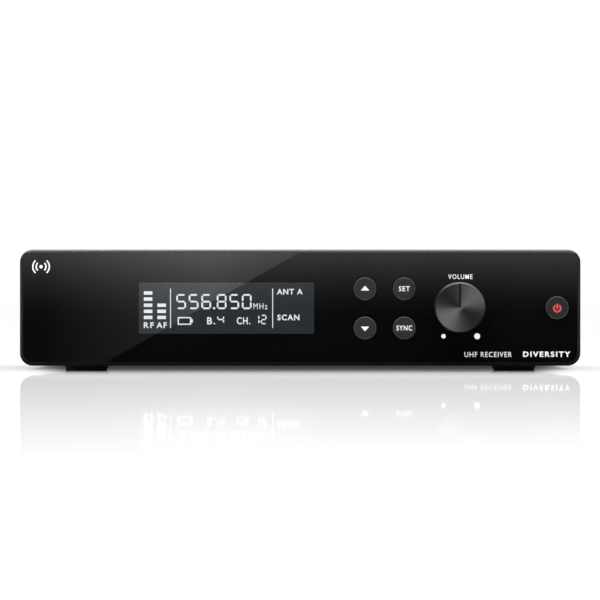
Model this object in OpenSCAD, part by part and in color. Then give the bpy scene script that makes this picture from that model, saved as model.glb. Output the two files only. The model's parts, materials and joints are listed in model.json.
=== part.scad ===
// Half-width wireless microphone receiver with a gloss front panel, a turned volume knob,
// four round keys, a lit power key and a full row of rear sockets.
//
// X runs to the right as seen from the front, Y runs from the front to the rear and Z is up.
// The origin lies on the surface that the feet stand on, midway between the front and rear panels.
// All lengths are millimetres.

/* [Housing] */
// Width of the front bezel
body_w = 200; // [198:0.5:206]
// Height of the front bezel
body_h = 41.5; // [41:0.25:43]
// Depth from the front panel to the rear panel
body_d = 128; // [128:1:150]
// Gap that the feet leave under the bezel
foot_gap = 1.8; // [1.6:0.1:2.4]
// Outer corner radius of the bezel
bezel_r = 4.6; // [4.4:0.1:5]
// Width of the bezel lip around the front panel
bezel_lip = 1.1; // [1:0.05:1.2]
// Inset of the metal housing from the bezel
case_inset = 1.4; // [1.4:0.05:1.6]
// Thickness of the sheet metal
sheet = 0.8; // [0.7:0.1:0.9]

/* [Display] */
// Width of the display window
window_w = 62.4; // [60:0.1:64]
// Height of the display window
window_h = 18.2; // [17:0.1:18.6]
// Distance of the window's centre to the left of the middle
window_left = 26.3; // [25:0.1:27]

/* [Keys and knobs] */
// Diameter of the round keys
key_d = 8; // [7:0.1:8]
// Height of the keys above the front panel
key_proud = 1; // [0.8:0.1:1.4]
// Distance between neighbouring keys
key_pitch = 14; // [13.4:0.1:14.4]
// Diameter of the volume knob
knob_d = 18; // [17:0.5:19]
// Reach of the knob and of the sockets past the front and rear panels
reach = 13; // [13:0.5:15]

/* [Connections] */
// Bore of the jack socket
jack_bore_d = 6.5; // [6.4:0.05:6.6]
// Bore of the three-pole output socket
xlr_bore_d = 19.2; // [19:0.1:19.4]
// Diameter of the pins of the three-pole output socket
xlr_pin_d = 2.34; // [2.3:0.02:2.4]
// Outer diameter of the antenna sockets
antenna_d = 9.64; // [9.6:0.02:9.7]
// Spacing of the two rack-ear screws on each side
ear_pitch = 40; // [36:1:44]

/* [Hidden] */
$fn = 96;

// Colours
steel_black = "#26272a";
bezel_black = "#3a3a3b";
gloss_black = "#0b0b0c";
key_grey = "#363637";
knob_grey = "#4a4a4b";
board_green = "#1f5a3a";
tin = "#b9bcc0";
nickel = "#c9cacb";
gold = "#c9a24b";
rubber_black = "#1a1a1b";
plastic_black = "#141415";

// Levels and clearances
touch_gap = 0.05;                            // between parts that fit closely
run_gap = 0.08;                              // radial, where one part slides in another
mid_z = foot_gap + body_h / 2;
case_w = body_w - 2 * case_inset;
case_bottom = foot_gap + case_inset;
case_top = foot_gap + body_h - case_inset;
case_r = bezel_r - case_inset;
floor_top = case_bottom + sheet;

function front(depth) = depth - body_d / 2;  // Y of a plane this far behind the front panel's face
function rear(out) = out + body_d / 2;       // Y of a plane this far behind the rear panel's face

// Front bezel and panel
bezel_edge_r = 1;
bezel_ledge = 3;
bezel_body_depth = 8.9;
bezel_skirt_depth = 12;
bezel_skirt = 1.3;
panel_t = 2;
panel_w = body_w - 2 * (bezel_lip + touch_gap);
panel_h = body_h - 2 * (bezel_lip + touch_gap);
panel_r = bezel_r - bezel_lip - touch_gap;
window_seam = 0.02;
lcd_xz = [-window_left, mid_z - 0.15];

// Front controls
key_left_x = 23.1;
key_block_z = mid_z - 0.25;                  // the middle of the four keys
key_up_xz = [key_left_x, key_block_z + key_pitch / 2];
key_down_xz = [key_left_x, key_block_z - key_pitch / 2];
key_set_xz = [key_left_x + key_pitch, key_block_z + key_pitch / 2];
key_sync_xz = [key_left_x + key_pitch, key_block_z - key_pitch / 2];
power_xz = [body_w / 2 - 8.4, mid_z];
knob_xz = [56.5, mid_z];
switches_xz = [key_up_xz, key_down_xz, key_set_xz, key_sync_xz, power_xz];
key_face_y = front(-key_proud);
key_hole_r = key_d / 2 + 0.2;
key_flange_r = key_hole_r + 0.3;
key_flange_y = [front(panel_t + run_gap), front(panel_t + run_gap + 1)];
key_edge_r = 0.35;
stem_r = 2;
stem_end_y = front(6.6);
switch_y = front(7.4);
switch_bore_y = front(9.6);
plunger_r = 1.65;
symbol_depth = 0.6;
guide_r = 3;
led_drop = 5;                                // the power lamp's centre below the power key's centre
shaft_r = 3;
pot_nose_r = 3.5;
pot_depth = 8;
flat_z = 1.5;                                // the D flat's height over the shaft's centre

// Boards
carrier_y = [front(4.5), front(6.5)];
carrier_size = [192, 32];
front_board_y = [front(10.5), front(12.1)];
board_t = 1.6;
board_z = floor_top + 5;
board_top = board_z + board_t;
board_y = [front(18), rear(-8)];
board_half_w = 94;
front_posts_xz = [for (x = [-88, 12, 74], s = [-1, 1]) [x, mid_z + 12 * s]];
standoffs_xy = [for (x = [-86, 4, 86], y = [front(24), rear(-12)]) [x, y]];

// Rear sockets, by their centres on the rear panel
antenna_x = body_w / 2 - 16;
xlr_xz = [-48, mid_z];
jack_xz = [-16, mid_z];
squelch_xz = [10, mid_z];
hook_x = 34;
dc_size = [9, 11];
dc_xz = [54, board_top + dc_size[1] / 2];
dc_bore_r = 3.15;
dc_pin_r = 1;
dc_root_r = 0.8;                             // the pin is thinner where it passes through the socket's floor
dc_floor_y = rear(-8.5);
dc_tail_y = rear(-14.5);
xlr_flange_t = 2.5;
xlr_barrel_r = 11.2;
xlr_floor_y = rear(-13);
xlr_root_r = 1;                              // the pins are thinner where they pass through their insert
xlr_pins_xz = [for (at = [[-5.6, 0], [5.6, 0], [0, -5.6]]) xlr_xz + at];
xlr_screws_xz = [for (at = [[-9.5, 12], [9.5, -12]]) xlr_xz + at];
antenna_thread_r = 6.3;
antenna_bore_r = 4.07;
antenna_core_r = 2.35;
jack_nose_r = 4.75;
jack_reach = 4.6;
washer_t = 0.6;
hook_pegs_xz = [for (z = [-8, 4]) [hook_x, mid_z + z]];
hook_peg_r = 1.5;

// Fasteners
rear_screws_xz = [for (x = [-68, 0, 69], z = [case_bottom + 3.2, case_top - 3.9]) [x, z]];
rear_tab_y = [rear(-1.9), rear(-1.1)];
bezel_screws_x = [-70, 44];
bezel_screw_y = front(7.5);
ear_y = [front(20), front(20) + ear_pitch];
nut_shank_r = 2.6;
ear_hole_r = 1.65;
feet_front_x = 77.2;
feet_rear_x = 81.5;
feet_xy = [
    for (s = [-1, 1])
        each [[s * feet_front_x, front(23)], [s * feet_rear_x, rear(-20)]]
];

// ---------------------------------------------------------------- shared shapes

// A flat outline drawn in X and Z, given thickness from y0 to y1
module slab(y0, y1) {
    translate([0, y1, 0]) rotate([90, 0, 0]) linear_extrude(y1 - y0) children();
}

// A flat outline drawn in Y and Z, given thickness from x0 to x1
module cross_slab(x0, x1) {
    translate([x0, 0, 0]) rotate([90, 0, 90]) linear_extrude(x1 - x0) children();
}

// A box between two opposite corners
module block(a, b) {
    translate(a) cube(b - a);
}

// A box centred on the point xz, with a size in X and Z, from y0 to y1
module brick(xz, size, y0, y1) {
    block([xz[0] - size[0] / 2, y0, xz[1] - size[1] / 2], [xz[0] + size[0] / 2, y1, xz[1] + size[1] / 2]);
}

// A round bar along Y at the point xz
module rod(xz, r, y0, y1) {
    translate([xz[0], y0, xz[1]]) rotate([-90, 0, 0]) cylinder(r = r, h = y1 - y0);
}

// A round bar with a flat along its top, at a height over its centre
module d_rod(xz, r, flat, y0, y1) {
    difference() {
        rod(xz, r, y0, y1);
        brick(xz + [0, flat + r], [3 * r, 2 * r], y0 - 1, y1 + 1);
    }
}

// A round bar along X at the point yz
module cross_rod(yz, r, x0, x1) {
    translate([x0, yz[0], yz[1]]) rotate([0, 90, 0]) cylinder(r = r, h = x1 - x0);
}

// A turned part whose axis runs along Y through xz; its outline is drawn in [radius, Y]
module turned(xz) {
    translate([xz[0], 0, xz[1]]) rotate([-90, 0, 0]) rotate_extrude() children();
}

// A rectangle with round corners
module round_rect(size, r) {
    square([size[0] - 2 * r, size[1]], center = true);
    square([size[0], size[1] - 2 * r], center = true);
    for (x = [-1, 1], y = [-1, 1])
        translate([x * (size[0] / 2 - r), y * (size[1] / 2 - r)]) circle(r);
}

// A rectangle that stands on the line y = 0, with its two lower corners round
module half_round(w, h, r) {
    translate([-w / 2, r]) square([w, h - r]);
    translate([r - w / 2, 0]) square([w - 2 * r, 2 * r]);
    for (side = [-1, 1])
        translate([side * (w / 2 - r), r]) circle(r);
}

// The cross-section of folded sheet: a web along the line y = 0 and a flange up each side
module channel(w, h, r, t) {
    difference() {
        half_round(w, h, r);
        translate([0, t]) half_round(w - 2 * t, h, r - t);
    }
}

// Carries an outline of [radius, Y] points round a rounded rectangle that stands in X and Z
module swept_frame(size, r) {
    cx = size[0] / 2 - r;
    cz = size[1] / 2 - r;
    for (far_side = [0, 1]) {
        mirror([far_side, 0, 0]) translate([cx, 0, -cz]) linear_extrude(2 * cz) children();
        mirror([0, 0, far_side]) rotate([0, -90, 0]) translate([cz, 0, -cx])
            linear_extrude(2 * cx) children();
    }
    for (mx = [0, 1], mz = [0, 1])
        mirror([mx, 0, 0]) mirror([0, 0, mz]) translate([cx, 0, cz])
            rotate([-90, 0, 0]) rotate([0, 0, -90]) rotate_extrude(angle = 90) children();
}

// A hexagon nut with a round bore
module hex_nut(xz, across_flats, bore_r, y0, y1) {
    difference() {
        translate([xz[0], y0, xz[1]]) rotate([-90, 0, 0])
            cylinder(d = across_flats / cos(30), h = y1 - y0, $fn = 6);
        rod(xz, bore_r, y0 - 1, y1 + 1);
    }
}

// A lock washer with teeth round its edge
module lock_washer(xz, inner_r, outer_r, y0, y1) {
    teeth = 12;
    difference() {
        rod(xz, outer_r, y0, y1);
        rod(xz, inner_r, y0 - 1, y1 + 1);
        for (i = [0:teeth - 1])
            translate([xz[0], y0 - 1, xz[1]]) rotate([-90, 0, 0]) rotate([0, 0, i * 360 / teeth])
                translate([outer_r - 0.6, -0.45, 0]) cube([2, 0.9, y1 - y0 + 2]);
    }
}

// The two crossed slots of a screw's recess, cut downwards from the plane y = 0
module cross_recess(w, l, depth) {
    for (turn = [0, 90])
        rotate([0, turn, 0]) translate([-l / 2, -depth, -w / 2]) cube([l, depth + 1, w]);
}

// A pan-head screw whose head stands on the plane y = 0 and points along +Y
module pan_screw(r, length, head_r, head_h) {
    difference() {
        turned([0, 0]) polygon([
            [0, -length], [r * 0.7, -length], [r, r * 0.6 - length], [r, 0], [head_r, 0],
            [head_r, head_h * 0.5], [head_r * 0.72, head_h], [0, head_h]
        ]);
        translate([0, head_h, 0]) cross_recess(head_r * 0.3, head_r * 1.15, head_h * 0.6);
    }
}

// A slot with round ends through a side wall, long in Z
module side_slot(yz, size, x0, x1) {
    r = size[0] / 2;
    straight = size[1] / 2 - r;
    block([x0, yz[0] - r, yz[1] - straight], [x1, yz[0] + r, yz[1] + straight]);
    for (s = [-1, 1])
        cross_rod([yz[0], yz[1] + s * straight], r, x0, x1);
}

// ---------------------------------------------------------------- metal housing

vent_count = 9;
vent_pitch = 5;

module top_cover() {
    color(steel_black) difference() {
        union() {
            slab(front(bezel_body_depth + 0.3), rear(0)) translate([0, case_top]) mirror([0, 1])
                channel(case_w, case_top - case_bottom - 0.2, case_r, sheet);
            for (at = rear_screws_xz)
                if (at[1] > mid_z)
                    block([at[0] - 6, rear_tab_y[0], at[1] - 4],
                          [at[0] + 6, rear_tab_y[1], case_top - sheet / 2]);
        }
        for (at = rear_screws_xz)
            rod(at, 1.5, rear(-3), rear(0));
        for (s = [-1, 1]) {
            wall_x = [s * case_w / 2 - 2, s * case_w / 2 + 2];
            for (y = ear_y)
                cross_rod([y, mid_z], nut_shank_r + touch_gap, wall_x[0], wall_x[1]);
            for (i = [0:vent_count - 1])
                side_slot([rear(-14) - i * vent_pitch, mid_z], [2, 18], wall_x[0], wall_x[1]);
        }
    }
}

tray_w = case_w - 2 * (sheet + 0.2);
tray_vents = 6;

module chassis_tray() {
    tab_z = foot_gap + bezel_ledge + touch_gap;
    color(steel_black) difference() {
        union() {
            slab(front(bezel_body_depth + 0.3), rear_tab_y[1]) translate([0, case_bottom])
                channel(tray_w, 12, 1.5, sheet);
            block([-tray_w / 2 + 2, rear_tab_y[0], case_bottom + sheet / 2],
                  [tray_w / 2 - 2, rear_tab_y[1], case_bottom + 5.6]);
            block([-90, front(9.2), case_bottom + sheet / 2], [90, front(10), case_bottom + 4.2]);
            for (x = bezel_screws_x)
                block([x - 5, front(3.5), tab_z], [x + 5, front(9.6), tab_z + sheet]);
        }
        for (at = rear_screws_xz)
            rod(at, 1.5, rear(-3), rear(0));
        for (x = bezel_screws_x)
            translate([x, bezel_screw_y, 0]) cylinder(r = 1.5, h = 10);
        for (side = [-1, 1], i = [0:tray_vents - 1])
            translate([side * 48 + (i - (tray_vents - 1) / 2) * 6, 0, case_bottom - 1]) {
                block([-1, -14, 0], [1, 14, 3]);
                for (end = [-14, 14])
                    translate([0, end, 0]) cylinder(r = 1, h = 3);
            }
    }
}

module rear_panel() {
    w = case_w - 2 * (sheet + run_gap);
    h = case_top - sheet - case_bottom - 2 * run_gap;
    color(steel_black) slab(rear(-1), rear(0)) difference() {
        translate([0, case_top - sheet - run_gap]) mirror([0, 1]) half_round(w, h, case_r - sheet - run_gap);
        for (at = rear_screws_xz)
            translate(at) circle(1.6);
        for (s = [-1, 1])
            translate([s * antenna_x, mid_z]) circle(antenna_thread_r + run_gap);
        translate(xlr_xz) circle(xlr_barrel_r + run_gap);
        for (at = xlr_screws_xz)
            translate(at) circle(1.3);
        translate(jack_xz) circle(jack_nose_r + run_gap);
        translate(squelch_xz) circle(pot_nose_r + run_gap);
        translate(dc_xz) square([dc_size[0] + 0.2, dc_size[1] + 0.2], center = true);
        for (at = hook_pegs_xz)
            translate(at) circle(hook_peg_r + touch_gap);
    }
}

module rubber_feet() {
    color(rubber_black) for (at = feet_xy)
        translate(at) rotate_extrude() polygon([
            [0, 0.6], [2.4, 0.6], [2.8, 0], [7, 0], [7.7, 0.7], [8, case_bottom], [0, case_bottom]
        ]);
}

// Press nuts for the rack ears, flush with the outside of the cover
module rack_nuts() {
    inner_x = case_w / 2 - sheet;
    color(tin) for (mx = [0, 1], y = ear_y)
        mirror([mx, 0, 0]) difference() {
            union() {
                cross_rod([y, mid_z], nut_shank_r, inner_x - 1, case_w / 2);
                cross_rod([y, mid_z], 3.6, inner_x - 2.4, inner_x);
            }
            cross_rod([y, mid_z], ear_hole_r, inner_x - 3, case_w / 2 + 1);
        }
}

module bezel_screw() {
    head_r = 2.8;
    difference() {
        rotate_extrude() polygon([[0, 0], [head_r, 0], [1.45, 1.35], [1.45, 4.4], [0, 4.4]]);
        rotate([-90, 0, 0]) cross_recess(0.8, 2.9, 0.9);
    }
}

module housing_screws() {
    color(nickel) {
        for (at = rear_screws_xz)
            translate([at[0], rear(0), at[1]]) pan_screw(1.45, 5, 2.7, 1.9);
        for (at = xlr_screws_xz)
            translate([at[0], rear(xlr_flange_t), at[1]]) pan_screw(1.25, 6, 2.4, 1.8);
        for (x = bezel_screws_x)
            translate([x, bezel_screw_y, foot_gap]) bezel_screw();
    }
}

// ---------------------------------------------------------------- front bezel, panel and display

module front_bezel() {
    color(bezel_black) difference() {
        translate([0, 0, mid_z]) swept_frame([body_w, body_h], bezel_r)
            translate([bezel_r, front(0)]) mirror([1, 0]) {
                polygon([
                    [0, bezel_edge_r], [bezel_edge_r, bezel_edge_r], [bezel_edge_r, 0], [bezel_lip, 0],
                    [bezel_lip, panel_t + touch_gap], [bezel_ledge, panel_t + touch_gap],
                    [bezel_ledge, bezel_body_depth], [bezel_skirt, bezel_body_depth],
                    [bezel_skirt, bezel_skirt_depth], [0, bezel_skirt_depth]
                ]);
                intersection() {
                    square(bezel_edge_r);
                    translate([bezel_edge_r, bezel_edge_r]) circle(bezel_edge_r);
                }
            }
        for (x = bezel_screws_x)
            translate([x, bezel_screw_y, foot_gap - 0.01]) {
                cylinder(r = 1.55, h = 5);
                cylinder(r1 = 2.95, r2 = 1.55, h = 1.4);
            }
    }
}

module front_panel() {
    color(gloss_black) slab(front(0), front(panel_t)) difference() {
        translate([0, mid_z]) round_rect([panel_w, panel_h], panel_r);
        translate(lcd_xz) square([window_w + 2 * window_seam, window_h + 2 * window_seam], center = true);
        for (at = switches_xz)
            translate(at) circle(key_hole_r);
        translate(knob_xz) circle(pot_nose_r + run_gap);
    }
}

module display_window() {
    color("#3a4046", 0.6) brick(lcd_xz, [window_w, window_h], front(0), front(panel_t));
}

lcd_size = [64, 22];

module lcd_glass() {
    color("#343a42") brick(lcd_xz, lcd_size, front(2.1), front(3.9));
}

module lcd_frame() {
    color(tin) difference() {
        brick(lcd_xz, lcd_size + [2, 2], front(2.05), front(10.5));
        brick(lcd_xz, lcd_size + [0.2, 0.2], front(2), front(11));
    }
}

module lcd_backlight() {
    color("#e8ebee") difference() {
        brick(lcd_xz, lcd_size, front(3.95), front(10.45));
        brick(lcd_xz, lcd_size - [4, 4], front(5.4), front(9));
    }
}

// Plastic frame between the panel and the control board: it holds the display and guides the key stems
module front_carrier() {
    lcd_hole = lcd_size + [2.4, 2.4];
    color(plastic_black) difference() {
        union() {
            slab(carrier_y[0], carrier_y[1]) translate([0, mid_z]) round_rect(carrier_size, 2);
            slab(front(panel_t + touch_gap), carrier_y[0] + 0.5) translate([0, mid_z]) difference() {
                round_rect(carrier_size, 2);
                round_rect(carrier_size - [5, 5], 1.5);
            }
            for (at = front_posts_xz)
                rod(at, 2.6, carrier_y[1] - 0.5, front_board_y[0]);
        }
        brick(lcd_xz, lcd_hole, front(2), front(7));
        for (at = switches_xz) {
            rod(at, stem_r + run_gap, front(3), front(7));
            rod(at, key_flange_r + 0.7, front(2), carrier_y[0]);
        }
        rod(power_xz - [0, led_drop], 1.3, front(3), front(7));
        brick(knob_xz, [13, 14], front(2), front(7));
        for (at = front_posts_xz)
            rod(at, 1.05, front(8), front(11));
    }
}

// ---------------------------------------------------------------- keys and their switches

// Half of a key's section, with a rounded edge round its face
module key_outline() {
    r = key_d / 2;
    translate([0, key_face_y]) square([r - key_edge_r, 2 * key_edge_r]);
    translate([r - key_edge_r, key_face_y + key_edge_r]) circle(key_edge_r, $fn = 32);
    translate([0, key_face_y + key_edge_r]) square([r, key_flange_y[0] - key_face_y - key_edge_r + 0.01]);
    translate([0, key_flange_y[0]]) square([key_flange_r, key_flange_y[1] - key_flange_y[0]]);
}

module push_key(xz) {
    color(key_grey) turned(xz) {
        key_outline();
        translate([0, key_flange_y[0]]) square([stem_r, stem_end_y - key_flange_y[0]]);
    }
}

module key_up() { push_key(key_up_xz); }
module key_down() { push_key(key_down_xz); }
module key_set() { push_key(key_set_xz); }
module key_sync() { push_key(key_sync_xz); }

// The power symbol, a broken ring with a bar, drawn larger all round by grow
module power_symbol(grow) {
    gap = 1.5 - 2 * grow;
    bar = [0.42 + 2 * grow, 1.65 + 2 * grow];
    translate([0, -0.25]) {
        difference() {
            circle(1.45 + grow);
            circle(1.05 - grow);
            translate([-gap / 2, 0]) square([gap, 3]);
        }
        translate([-bar[0] / 2, -grow]) square(bar);
    }
}

// The power key's cap is a shell moulded round the light guide, which is also its stem
module power_key() {
    color(key_grey) difference() {
        turned(power_xz) key_outline();
        rod(power_xz, guide_r + 0.02, key_face_y + symbol_depth, front(4));
        slab(key_face_y - 1, key_face_y + 1) translate(power_xz) power_symbol(0.02);
    }
}

module power_light_guide() {
    color("#e0403a") {
        rod(power_xz, guide_r, key_face_y + symbol_depth + 0.02, key_flange_y[1]);
        rod(power_xz, stem_r, key_flange_y[1] - 0.5, stem_end_y);
        slab(key_face_y, key_face_y + symbol_depth + 0.5) translate(power_xz) power_symbol(0);
    }
}

module plunger(xz) {
    color("#7a2b26") rod(xz, plunger_r, stem_end_y, front(8.8));
}

module plunger_up() { plunger(key_up_xz); }
module plunger_down() { plunger(key_down_xz); }
module plunger_set() { plunger(key_set_xz); }
module plunger_sync() { plunger(key_sync_xz); }
module plunger_power() { plunger(power_xz); }

module key_switches() {
    color("#303134") for (at = switches_xz)
        difference() {
            brick(at, [6, 6], switch_y, front_board_y[0]);
            rod(at, plunger_r + run_gap, switch_y - 1, switch_bore_y);
        }
}

module power_led() {
    color("#f2e9d8") brick(power_xz - [0, led_drop], [3, 1.5], front(9.5), front_board_y[0]);
}

// ---------------------------------------------------------------- volume control

knob_rim = 0.45;
knob_dish = 0.25;
knob_base_y = front(-0.6);
hub_y = front(-3.2);
shaft_reach = reach - 1.6;                   // how far the shaft's bore in the knob reaches past the panel

module volume_knob() {
    r = knob_d / 2;
    face = front(-reach);
    color(knob_grey) difference() {
        turned(knob_xz) polygon([
            [0, face + knob_dish], [r - knob_rim, face], [r, face + knob_rim], [r, knob_base_y],
            [r - 1.5, knob_base_y], [r - 1.5, face + 2.4], [4.6, face + 2.4], [4.6, hub_y], [0, hub_y]
        ]);
        d_rod(knob_xz, shaft_r + 0.03, flat_z + 0.03, front(0.2 - shaft_reach), front(0));
        // the pointer groove, from the centre to the rim
        brick(knob_xz + [0, r / 2 - 0.2], [0.7, r - 0.6], face - 1, face + 0.7);
    }
}

module volume_shaft() {
    color(nickel) {
        rod(knob_xz, shaft_r, hub_y, front(pot_depth - 0.2));
        d_rod(knob_xz, shaft_r, flat_z, front(0.4 - shaft_reach), hub_y);
    }
}

module volume_pot() {
    color("#8d9196") difference() {
        union() {
            brick(knob_xz, [12, 12.6], front(panel_t), front_board_y[0]);
            rod(knob_xz, pot_nose_r, front(-2), front(panel_t + 1));
        }
        rod(knob_xz, shaft_r + touch_gap, front(-3), front(pot_depth));
    }
}

// ---------------------------------------------------------------- boards

module front_board() {
    color(board_green) slab(front_board_y[0], front_board_y[1]) difference() {
        translate([0, mid_z]) round_rect([190, carrier_size[1]], 1.5);
        for (at = front_posts_xz)
            translate(at) circle(1.3);
    }
}

module main_board() {
    color(board_green) difference() {
        block([-board_half_w, board_y[0], board_z], [board_half_w, board_y[1], board_top]);
        for (at = standoffs_xy)
            translate([at[0], at[1], board_z - 1]) cylinder(r = 1.5, h = 4);
    }
}

module board_standoffs() {
    color(nickel) for (at = standoffs_xy)
        translate([at[0], at[1], floor_top]) difference() {
            cylinder(r = 3, h = board_z - floor_top);
            translate([0, 0, -1]) cylinder(r = 1.3, h = board_z - floor_top + 2);
        }
}

module board_screws() {
    color(nickel) {
        for (at = standoffs_xy)
            translate([at[0], at[1], board_top]) rotate([90, 0, 0]) pan_screw(1.25, 5.6, 2.6, 1.8);
        for (at = front_posts_xz)
            translate([at[0], front_board_y[1], at[1]]) pan_screw(1, 3.8, 2.1, 1.4);
    }
}

ribbon_w = 18;
ribbon_z = mid_z + 2;
ribbon_bend = 5;
ribbon_drop_y = front(32);
ribbon_foot_z = board_top + 1.6;

// The ribbon's section in Y and Z: level, a quarter turn, then straight down
module ribbon_outline(t) {
    start_y = front_board_y[1] + 1.2;
    translate([start_y, ribbon_z - t / 2]) square([ribbon_drop_y - ribbon_bend - start_y, t]);
    translate([ribbon_drop_y - ribbon_bend, ribbon_z - ribbon_bend]) intersection() {
        difference() {
            circle(ribbon_bend + t / 2);
            circle(ribbon_bend - t / 2);
        }
        square(2 * ribbon_bend);
    }
    translate([ribbon_drop_y - t / 2, ribbon_foot_z]) square([t, ribbon_z - ribbon_bend - ribbon_foot_z]);
}

module ribbon_cable() {
    color("#e9ebec") cross_slab(-ribbon_w / 2, ribbon_w / 2) ribbon_outline(0.3);
}

module ribbon_sockets() {
    color("#e6e0cf") difference() {
        union() {
            brick([0, ribbon_z], [ribbon_w + 4, 5], front_board_y[1], front_board_y[1] + 3);
            block([-ribbon_w / 2 - 2, ribbon_drop_y - 2.5, board_top],
                  [ribbon_w / 2 + 2, ribbon_drop_y + 2.5, board_top + 4]);
        }
        cross_slab(-ribbon_w / 2 - 0.1, ribbon_w / 2 + 0.1) {
            ribbon_outline(0.5);
            translate([front_board_y[1] + 1, ribbon_z - 0.25]) square([3, 0.5]);
            translate([ribbon_drop_y - 0.25, ribbon_foot_z - 0.2]) square([0.5, 3]);
        }
    }
}

// A pressed can over one tuner, open below, with alignment holes in its lid
module tuner_shield(side) {
    size = [36, 44, 6.5];
    wall = 0.4;
    color(tin) translate([side * 70 - size[0] / 2, -22, board_top]) difference() {
        cube(size);
        translate([wall, wall, -1]) cube(size - [2 * wall, 2 * wall, wall - 1]);
        for (i = [0:2], j = [0:3])
            translate([8 + i * 10, 7 + j * 10, 0]) cylinder(r = 1.2, h = 10);
    }
}

module tuner_shield_a() { tuner_shield(-1); }
module tuner_shield_b() { tuner_shield(1); }

module ic_chips() {
    // [X, Y, width, depth, height]
    chips = [
        [-30, -20, 14, 14, 1.4], [-8, -8, 10, 10, 1.4], [24, -16, 7, 7, 1.2], [-34, 8, 8, 6, 1.6],
        [-12, 12, 5, 4, 1.4], [36, 12, 5, 6, 1.6], [10, 10, 9, 6, 2.2], [-50, -38, 6, 5, 1.5]
    ];
    color("#1b1b1d") for (c = chips)
        block([c[0] - c[2] / 2, c[1] - c[3] / 2, board_top],
              [c[0] + c[2] / 2, c[1] + c[3] / 2, board_top + c[4]]);
}

module electrolytic_capacitors() {
    // [X, Y, radius, height]
    cans = [
        [44, 30, 4, 10], [34, 30, 4, 10], [76, 34, 5, 12], [60, 34, 4, 8],
        [-32, 26, 3.2, 7], [-34, 40, 3.2, 7], [28, 44, 3.2, 7]
    ];
    color("#2b3d63") for (c = cans)
        translate([c[0], c[1], board_top]) difference() {
            cylinder(r = c[2], h = c[3]);
            translate([0, 0, 1.3]) difference() {
                cylinder(r = c[2] + 1, h = 0.6);
                cylinder(r = c[2] - 0.3, h = 0.6);
            }
        }
}

module power_inductor() {
    color("#5a4a3c") translate([66, -34, board_top]) rotate_extrude() polygon([
        [0, 0], [6, 0], [6, 1.2], [4.6, 1.8], [4.6, 5.2], [6, 5.8], [6, 7], [0, 7]
    ]);
}

// ---------------------------------------------------------------- antenna sockets and their leads

module antenna_socket(side) {
    r = antenna_d / 2;
    lug_y = rear(reach - 4.8);
    color(nickel) {
        turned([side * antenna_x, mid_z]) polygon([
            [antenna_core_r + 0.1, rear(-8)], [5.5, rear(-8)], [5.5, rear(-4.5)], [7.6, rear(-4.5)],
            [7.6, rear(-1)], [antenna_thread_r, rear(-1)], [antenna_thread_r, rear(3.9)],
            [antenna_thread_r - 0.4, rear(4.3)], [r, rear(4.3)], [r, rear(reach - 0.25)],
            [r - 0.25, rear(reach)], [antenna_bore_r + 0.2, rear(reach)],
            [antenna_bore_r, rear(reach - 0.2)],
            [antenna_bore_r, rear(1.5)], [antenna_core_r + 0.1, rear(1.5)]
        ]);
        for (s = [-1, 1])
            translate([side * antenna_x, lug_y, mid_z + s * 4.4]) rotate([90 - 90 * s, 0, 0])
                cylinder(r = 1, h = 1.1);
    }
}

module antenna_socket_a() { antenna_socket(-1); }
module antenna_socket_b() { antenna_socket(1); }

module antenna_insulators() {
    color("#f1efe6") for (side = [-1, 1])
        turned([side * antenna_x, mid_z]) polygon([
            [0.95, rear(-8)], [antenna_core_r, rear(-8)], [antenna_core_r, rear(1.55)],
            [antenna_bore_r - touch_gap, rear(1.55)], [antenna_bore_r - touch_gap, rear(4.8)],
            [antenna_core_r, rear(4.8)], [antenna_core_r, rear(reach - 1)], [0.95, rear(reach - 1)]
        ]);
}

module antenna_contacts() {
    color(gold) for (side = [-1, 1])
        turned([side * antenna_x, mid_z]) polygon([
            [0, rear(-11)], [0.9, rear(-11)], [0.9, rear(reach - 1.2)], [0.5, rear(reach - 1.2)],
            [0.5, rear(5)], [0, rear(5)]
        ]);
}

// The lead leaves the socket level and turns down to a ferrule on the main board
module antenna_lead(side) {
    r = 0.9;
    bend = 6;
    bend_y = rear(-20);
    color("#4b3a2a") translate([side * antenna_x, 0, 0]) {
        rod([0, mid_z], r, bend_y, rear(-11));
        translate([0, bend_y, mid_z - bend]) rotate([0, -90, 0])
            rotate_extrude(angle = -90) translate([bend, 0]) circle(r, $fn = 48);
        translate([0, bend_y - bend, board_top]) cylinder(r = r, h = mid_z - bend - board_top);
        translate([0, bend_y - bend, board_top]) cylinder(r = 1.9, h = 2);
    }
}

module antenna_lead_a() { antenna_lead(-1); }
module antenna_lead_b() { antenna_lead(1); }

module panel_nuts() {
    color(nickel) {
        for (side = [-1, 1])
            hex_nut([side * antenna_x, mid_z], 15, antenna_thread_r + touch_gap, rear(washer_t), rear(3.1));
        hex_nut(jack_xz, 13, jack_nose_r + touch_gap, rear(washer_t), rear(2.9));
        hex_nut(squelch_xz, 10, pot_nose_r + touch_gap, rear(washer_t), rear(2.4));
        hex_nut(knob_xz, 10, pot_nose_r + touch_gap, front(-1.8), front(0));
    }
}

module panel_washers() {
    color(tin) {
        for (side = [-1, 1])
            lock_washer([side * antenna_x, mid_z], antenna_thread_r + touch_gap, 9, rear(0), rear(washer_t));
        lock_washer(jack_xz, jack_nose_r + touch_gap, 7.4, rear(0), rear(washer_t));
        lock_washer(squelch_xz, pot_nose_r + touch_gap, 6, rear(0), rear(washer_t));
    }
}

// ---------------------------------------------------------------- audio outputs

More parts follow.
